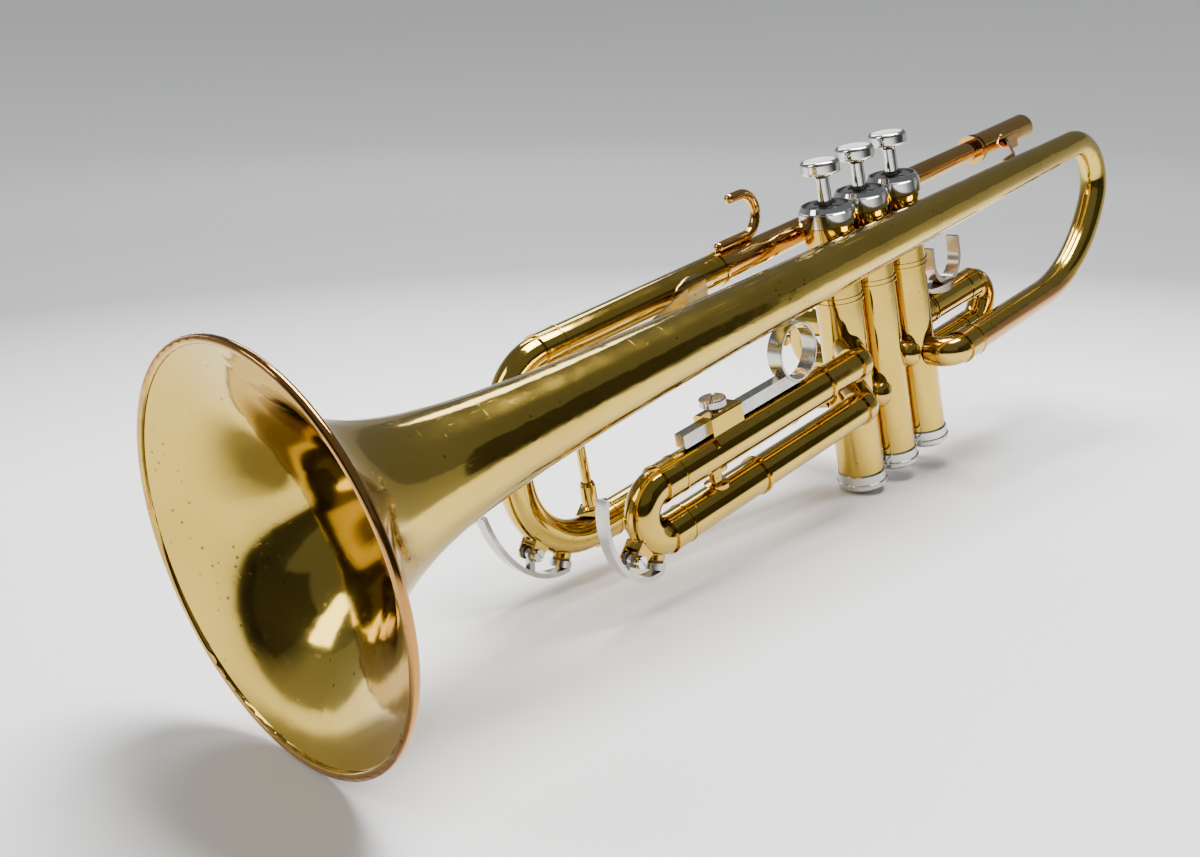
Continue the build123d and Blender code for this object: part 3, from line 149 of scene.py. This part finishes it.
def lacquered(name, base, deep, rough=0.08, pits=0.55, scratches=0.5, patina=0.0, scale=1.0, rim=None):
    """Clear-lacquered brass: cloudy colour, fine long scratches, small dark pits and brown patina.

    rim is (centre, inner radius, outer radius) of a worn band round an axis along X.
    """
    graph = Graph(name)
    cloud = graph.noise(26.0 * scale, 4.0)
    colour = graph.mix(graph.remap(cloud, 0.35, 0.70), base, deep)
    speck_zone = graph.remap(graph.noise(48.0 * scale, 2.0), 0.51, 0.58)
    speck = graph.remap(graph.cells(360.0 * scale), 0.10, 0.18, 1.0, 0.0)
    pit = graph.math("MULTIPLY", graph.math("MULTIPLY", speck, speck_zone), pits)
    blotch_low = 0.66 - 0.2 * patina
    blotch_high = 0.74 - 0.1 * patina
    blotch_zone = graph.remap(graph.noise(75.0 * scale, 5.0, 0.7), blotch_low, blotch_high)
    blotch = graph.math("MULTIPLY", blotch_zone, min(1.0, 0.25 + patina))
    long_marks = graph.noise(1.0, 2.0, 0.5, graph.stretched((26.0, 900.0, 900.0)))
    cross_marks = graph.noise(1.0, 2.0, 0.5, graph.stretched((700.0, 60.0, 240.0)), 0.6)
    mark = graph.math("ADD", graph.remap(long_marks, 0.66, 0.74), graph.remap(cross_marks, 0.70, 0.76))
    colour = graph.mix(blotch, colour, PATINA_BROWN)
    colour = graph.mix(pit, colour, PIT_BROWN)
    if rim:
        centre, inner, outer = rim
        spread = graph.node("ShaderNodeVectorMath", operation="DISTANCE")
        graph.put(spread.inputs[0], graph.stretched((0.0, 1.0, 1.0)))
        spread.inputs[1].default_value = (0.0, centre.y, centre.z)
        ragged = graph.remap(graph.noise(160.0, 4.0), 0.3, 0.7, -0.0007, 0.0007)
        band = graph.remap(graph.math("ADD", spread.outputs["Value"], ragged), inner, outer)
        colour = graph.mix(graph.math("MULTIPLY", band, 0.85), colour, RIM_COPPER)
        colour = graph.mix(graph.math("MULTIPLY", band, pit), colour, RIM_PIT)
    graph.put(graph.bsdf.inputs["Base Color"], colour)
    graph.bsdf.inputs["Metallic"].default_value = 1.0
    handled = graph.remap(graph.noise(60.0 * scale, 4.0), 0.3, 0.75, rough * 0.75, rough * 1.4)
    damage = graph.math("MULTIPLY", graph.math("ADD", mark, pit), 0.14 * scratches + 0.04)
    graph.put(graph.bsdf.inputs["Roughness"], graph.math("ADD", handled, damage))
    graph.bsdf.inputs["Coat Weight"].default_value = 0.10
    graph.bsdf.inputs["Coat Roughness"].default_value = 0.05
    graph.bsdf.inputs["Coat IOR"].default_value = 1.45
    ripple = graph.math("MULTIPLY", graph.noise(70.0 * scale, 1.0), 0.9)
    relief = graph.math("ADD", ripple, graph.math("MULTIPLY", graph.math("ADD", mark, pit), -0.10 * scratches))
    graph.bump(relief, 0.10, 0.0012)
    return graph.material


def plated(name, base, deep, rough=0.12, wear=0.5):
    """Nickel plate: bright, with greyish handling haze, hairlines and a few dark specks."""
    graph = Graph(name)
    haze = graph.noise(120.0, 4.0)
    hair = graph.remap(graph.noise(1.0, 2.0, 0.5, graph.stretched((1100.0, 1100.0, 90.0)), 0.4), 0.62, 0.72)
    speck = graph.remap(graph.cells(700.0), 0.08, 0.16, 1.0, 0.0)
    zone = graph.remap(graph.noise(90.0, 2.0), 0.54, 0.62)
    spot = graph.math("MULTIPLY", graph.math("MULTIPLY", speck, zone), wear)
    colour = graph.mix(graph.remap(haze, 0.35, 0.7), base, deep)
    colour = graph.mix(spot, colour, PLATE_SPOT)
    graph.put(graph.bsdf.inputs["Base Color"], colour)
    graph.bsdf.inputs["Metallic"].default_value = 1.0
    dull = graph.math("ADD", graph.remap(haze, 0.3, 0.75, rough * 0.7, rough * 1.7),
                      graph.math("MULTIPLY", hair, 0.10 * wear))
    graph.put(graph.bsdf.inputs["Roughness"], dull)
    relief = graph.math("ADD", graph.math("MULTIPLY", haze, 0.5), graph.math("MULTIPLY", hair, -0.08))
    graph.bump(relief, 0.08, 0.0008)
    return graph.material


def felt_material():
    graph = Graph("felt_black")
    fibre = graph.noise(2600.0, 5.0, 0.7)
    colour = graph.mix(fibre, rgb(0.006, 0.006, 0.008), rgb(0.035, 0.035, 0.042))
    graph.put(graph.bsdf.inputs["Base Color"], colour)
    graph.bsdf.inputs["Roughness"].default_value = 0.95
    graph.bsdf.inputs["Sheen Weight"].default_value = 0.35
    graph.bump(fibre, 0.5, 0.0004)
    return graph.material


def cork_material():
    graph = Graph("cork_natural")
    grain = graph.noise(900.0, 4.0, 0.65)
    hole = graph.remap(graph.cells(1400.0), 0.12, 0.25, 1.0, 0.0)
    colour = graph.mix(grain, rgb(0.34, 0.19, 0.085), rgb(0.20, 0.10, 0.045))
    colour = graph.mix(hole, colour, rgb(0.06, 0.03, 0.015))
    graph.put(graph.bsdf.inputs["Base Color"], colour)
    graph.bsdf.inputs["Roughness"].default_value = 0.85
    graph.bump(graph.math("SUBTRACT", grain, hole), 0.5, 0.0003)
    return graph.material


def pearl_material():
    graph = Graph("pearl_white")
    swirl = graph.noise(260.0, 4.0, 0.6, None, 1.6)
    colour = graph.mix(graph.remap(swirl, 0.35, 0.65), rgb(0.86, 0.85, 0.82), rgb(0.72, 0.74, 0.76))
    graph.put(graph.bsdf.inputs["Base Color"], colour)
    graph.bsdf.inputs["Roughness"].default_value = 0.22
    graph.bsdf.inputs["Coat Weight"].default_value = 0.6
    graph.bsdf.inputs["Coat Roughness"].default_value = 0.08
    graph.bump(swirl, 0.06, 0.0006)
    return graph.material


def spring_material():
    graph = Graph("spring_wire")
    rust = graph.noise(500.0, 4.0)
    graph.put(graph.bsdf.inputs["Base Color"], graph.mix(rust, rgb(0.20, 0.19, 0.18), rgb(0.10, 0.075, 0.055)))
    graph.bsdf.inputs["Metallic"].default_value = 1.0
    graph.put(graph.bsdf.inputs["Roughness"], graph.remap(rust, 0.3, 0.7, 0.28, 0.5))
    graph.bump(rust, 0.15, 0.0002)
    return graph.material


def honed_material():
    graph = Graph("honed_alloy")
    hone = graph.noise(1.0, 2.0, 0.5, graph.stretched((300.0, 300.0, 2600.0)))
    graph.put(graph.bsdf.inputs["Base Color"], graph.mix(hone, rgb(0.62, 0.61, 0.58), rgb(0.48, 0.47, 0.45)))
    graph.bsdf.inputs["Metallic"].default_value = 1.0
    graph.put(graph.bsdf.inputs["Roughness"], graph.remap(hone, 0.3, 0.7, 0.22, 0.38))
    graph.bump(hone, 0.1, 0.0002)
    return graph.material


wire_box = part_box("rim_wire")
rim_centre = (Vector(wire_box[0]) + Vector(wire_box[1])) / 2
rim_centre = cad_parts["bell"].matrix_world.inverted() @ rim_centre
RIM_BAND_INNER = 0.0588
RIM_BAND_OUTER = 0.0602

yellow = lacquered("yellow_brass", rgb(0.60, 0.410, 0.072), rgb(0.50, 0.325, 0.050), rough=0.075)
bell_yellow = lacquered("bell_brass", rgb(0.61, 0.430, 0.080), rgb(0.52, 0.355, 0.060), rough=0.095,
                        pits=0.7, scale=0.8, rim=(rim_centre, RIM_BAND_INNER, RIM_BAND_OUTER))
worn = lacquered("worn_brass", rgb(0.60, 0.40, 0.08), rgb(0.48, 0.29, 0.055),
                 rough=0.10, pits=0.8, patina=0.25)
pale = lacquered("pale_brass", rgb(0.66, 0.50, 0.22), rgb(0.54, 0.39, 0.15),
                 rough=0.12, pits=0.8, patina=0.15)
coppery = lacquered("rim_brass", rgb(0.50, 0.24, 0.07), rgb(0.32, 0.13, 0.035),
                    rough=0.20, pits=0.9, patina=0.5)
rose = lacquered("rose_brass", rgb(0.64, 0.37, 0.10), rgb(0.53, 0.285, 0.07),
                 rough=0.08, pits=0.7, patina=0.1)
nickel = plated("nickel_plate", rgb(0.70, 0.69, 0.665), rgb(0.60, 0.585, 0.55), rough=0.08)
silver = plated("nickel_silver", rgb(0.54, 0.525, 0.49), rgb(0.42, 0.40, 0.36), rough=0.15, wear=0.8)
saddle = plated("worn_nickel_silver", rgb(0.54, 0.46, 0.37), rgb(0.42, 0.33, 0.24), rough=0.18, wear=0.9)
felt = felt_material()
cork = cork_material()
pearl = pearl_material()
wire = spring_material()
honed = honed_material()

FINISH = {
    "bell": bell_yellow,
    "rim_wire": coppery,
    "leadpipe": rose,
    "mouthpiece_receiver": rose,
    "pinky_hook": rose,
    "valve_knuckles": worn,
    "crossover_tubes": worn,
    "third_slide_post": worn,
    "rod_block": yellow,
    "cap_felts": felt,
    "tuning_key_cork": cork,
    "third_key_cork": cork,
    "tuning_key_bracket": worn,
    "third_key_bracket": worn,
    "tuning_key_spring": wire,
    "third_key_spring": wire,
    "top_caps": nickel,
    "bottom_caps": nickel,
    "thumb_screw": silver,
    "stop_rod": silver,
    "finger_ring": silver,
    "thumb_saddle": saddle,
    "front_brace": pale,
    "rear_brace": rose,
    "tuning_key_lever": silver,
    "third_key_lever": silver,
    "tuning_key_screw": nickel,
    "third_key_screw": nickel,
    "tuning_inner_tubes": silver,
    "valve_guides": honed,
}
for count in "123":
    FINISH["finger_button_" + count] = nickel
    FINISH["valve_stem_" + count] = nickel
    FINISH["button_pearl_" + count] = pearl
    FINISH["valve_spring_" + count] = wire
    FINISH["piston_" + count] = honed

for name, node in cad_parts.items():
    material = FINISH.get(name, yellow)
    node.data.materials.clear()
    node.data.materials.append(material)

# ------------------------------------------------------------------ floor and bowl
FLOOR_REACH = 1.45
BOWL_R = 0.9
BOWL_SWEEP = math.radians(88.0)
RINGS_FLAT = 24
RINGS_BOWL = 20
TURNS = 96

verts = [on_floor(0, 0)]
faces = []
profile = [(FLOOR_REACH * (i + 1) / RINGS_FLAT, 0.0) for i in range(RINGS_FLAT)]
for i in range(RINGS_BOWL):
    angle = BOWL_SWEEP * (i + 1) / RINGS_BOWL
    profile.append((FLOOR_REACH + BOWL_R * math.sin(angle), BOWL_R * (1 - math.cos(angle))))
for reach, height in profile:
    for j in range(TURNS):
        angle = 2 * math.pi * j / TURNS
        verts.append(on_floor(reach * math.cos(angle), reach * math.sin(angle), height))
for j in range(TURNS):
    faces.append((0, 1 + j, 1 + (j + 1) % TURNS))
for i in range(len(profile) - 1):
    for j in range(TURNS):
        a = 1 + i * TURNS + j
        b = 1 + i * TURNS + (j + 1) % TURNS
        faces.append((a, a + TURNS, b + TURNS, b))
floor_mesh = bpy.data.meshes.new("studio_floor")
floor_mesh.from_pydata([tuple(v) for v in verts], [], faces)
floor_mesh.polygons.foreach_set("use_smooth", [True] * len(faces))
floor = bpy.data.objects.new("studio_floor", floor_mesh)
bpy.context.scene.collection.objects.link(floor)

PAPER_WHITE = rgb(0.95, 0.95, 0.96)
# Painted shade: greyer paper tones further off, standing in for light falling away.
PAPER_PAINTED_FALLOFF_SHADE = rgb(0.335, 0.340, 0.345)
PAPER_WALL_PAINTED_SHADE = rgb(0.50, 0.505, 0.51)
# Painted shade: dark paper behind the camera stands in for the unlit room.
PAPER_BEHIND_PAINTED_SHADE = rgb(0.05, 0.05, 0.055)
PAPER_SMUDGE = rgb(0.55, 0.54, 0.52)

# White paper round the object, with painted shade: greyer further off, standing in for light falling away, and
# dark behind the camera, standing in for the unlit room.
ground = Graph("studio_paper_painted_shade")
near = ground.node("ShaderNodeVectorMath", operation="DISTANCE")
ground.put(near.inputs[0], ground.where)
near.inputs[1].default_value = on_floor(0.0, -0.35)
spread = near.outputs["Value"]
depth = ground.node("ShaderNodeVectorMath", operation="DOT_PRODUCT")
ground.put(depth.inputs[0], ground.where)
depth.inputs[1].default_value = away
# Painted shade: the paper turns greyer with distance from the object.
paper_with_painted_shade = ground.mix(ground.remap(spread, 0.50, 0.85), PAPER_WHITE, PAPER_PAINTED_FALLOFF_SHADE)
paper_with_painted_shade = ground.mix(ground.remap(spread, 1.10, 1.75), paper_with_painted_shade, PAPER_WALL_PAINTED_SHADE)
# Painted shade: darker paper behind the camera, seen in the brass as a dark reflection.
paper_with_painted_shade = ground.mix(ground.remap(depth.outputs["Value"], -1.05, -0.55, 1.0, 0.0), paper_with_painted_shade, PAPER_BEHIND_PAINTED_SHADE)
paper_with_painted_shade = ground.mix(ground.remap(ground.noise(14.0, 5.0), 0.60, 0.78, 0.0, 0.10), paper_with_painted_shade, PAPER_SMUDGE)
ground.put(ground.bsdf.inputs["Base Color"], paper_with_painted_shade)
ground.bsdf.inputs["Roughness"].default_value = 0.55
ground.bump(ground.noise(40.0, 5.0), 0.06, 0.002)
floor_mesh.materials.append(ground.material)


# ------------------------------------------------------------------ light
def softbox(name, at, aim, size_x, size_y, power, tint=(1.0, 1.0, 1.0)):
    """A large rectangular area light at one floor-based point, aimed at another."""
    data = bpy.data.lights.new(name, "AREA")
    data.shape = "RECTANGLE"
    data.size = size_x
    data.size_y = size_y
    data.energy = power
    data.color = tint
    lamp = bpy.data.objects.new(name, data)
    bpy.context.scene.collection.objects.link(lamp)
    start = on_floor(*at)
    lamp.location = start
    lamp.rotation_euler = (on_floor(*aim) - start).to_track_quat("-Z", "Y").to_euler()
    return lamp


softbox("ceiling", (0.10, 0.25, 1.5), (0.05, 0.0, 0.0), 1.0, 0.75, 62.0, (1.0, 0.99, 0.97))
softbox("rear", (-0.4, 1.15, 1.1), (0.0, 0.0, 0.1), 0.7, 0.4, 7.0, (0.95, 0.98, 1.0))
softbox("left", (-1.2, -0.35, 0.9), (0.0, 0.0, 0.1), 0.4, 0.7, 6.0, (1.0, 0.98, 0.94))


def dark_card(name, at, width, height):
    """An upright dark board facing the object, which the camera never sees; it stands in for the shade of the
    unlit room, giving the brass its dark reflections.
    """
    centre = on_floor(*at)
    inward = on_floor(0.0, 0.0, at[2]) - centre
    across = inward.normalized().cross(FLOOR_NORMAL)
    half_w = across * (width / 2)
    half_h = FLOOR_NORMAL * (height / 2)
    corners = [centre + half_w * i + half_h * j for i, j in ((-1, -1), (1, -1), (1, 1), (-1, 1))]
    mesh = bpy.data.meshes.new(name)
    mesh.from_pydata([tuple(c) for c in corners], [], [(0, 1, 2, 3)])
    card = bpy.data.objects.new(name, mesh)
    bpy.context.scene.collection.objects.link(card)
    board = Graph(name)
    flock = board.noise(60.0, 3.0)
    colour = board.mix(flock, rgb(0.012, 0.012, 0.014), rgb(0.024, 0.023, 0.022))
    board.put(board.bsdf.inputs["Base Color"], colour)
    board.put(board.bsdf.inputs["Roughness"], board.remap(flock, 0.3, 0.7, 0.8, 0.95))
    board.bump(flock, 0.2, 0.001)
    mesh.materials.append(board.material)
    card.visible_camera = False


# Dark boards standing in for the unlit room's shade, seen as dark reflections in the brass.
dark_card("dark_board_right", (1.20, -0.60, 0.55), 1.5, 0.9)
dark_card("dark_board_left", (-0.9, -0.95, 0.55), 0.9, 0.8)

world = bpy.data.worlds.new("studio")
bpy.context.scene.world = world
world.use_nodes = True
world.node_tree.nodes["Background"].inputs["Color"].default_value = (0.62, 0.66, 0.72, 1.0)
world.node_tree.nodes["Background"].inputs["Strength"].default_value = 0.30
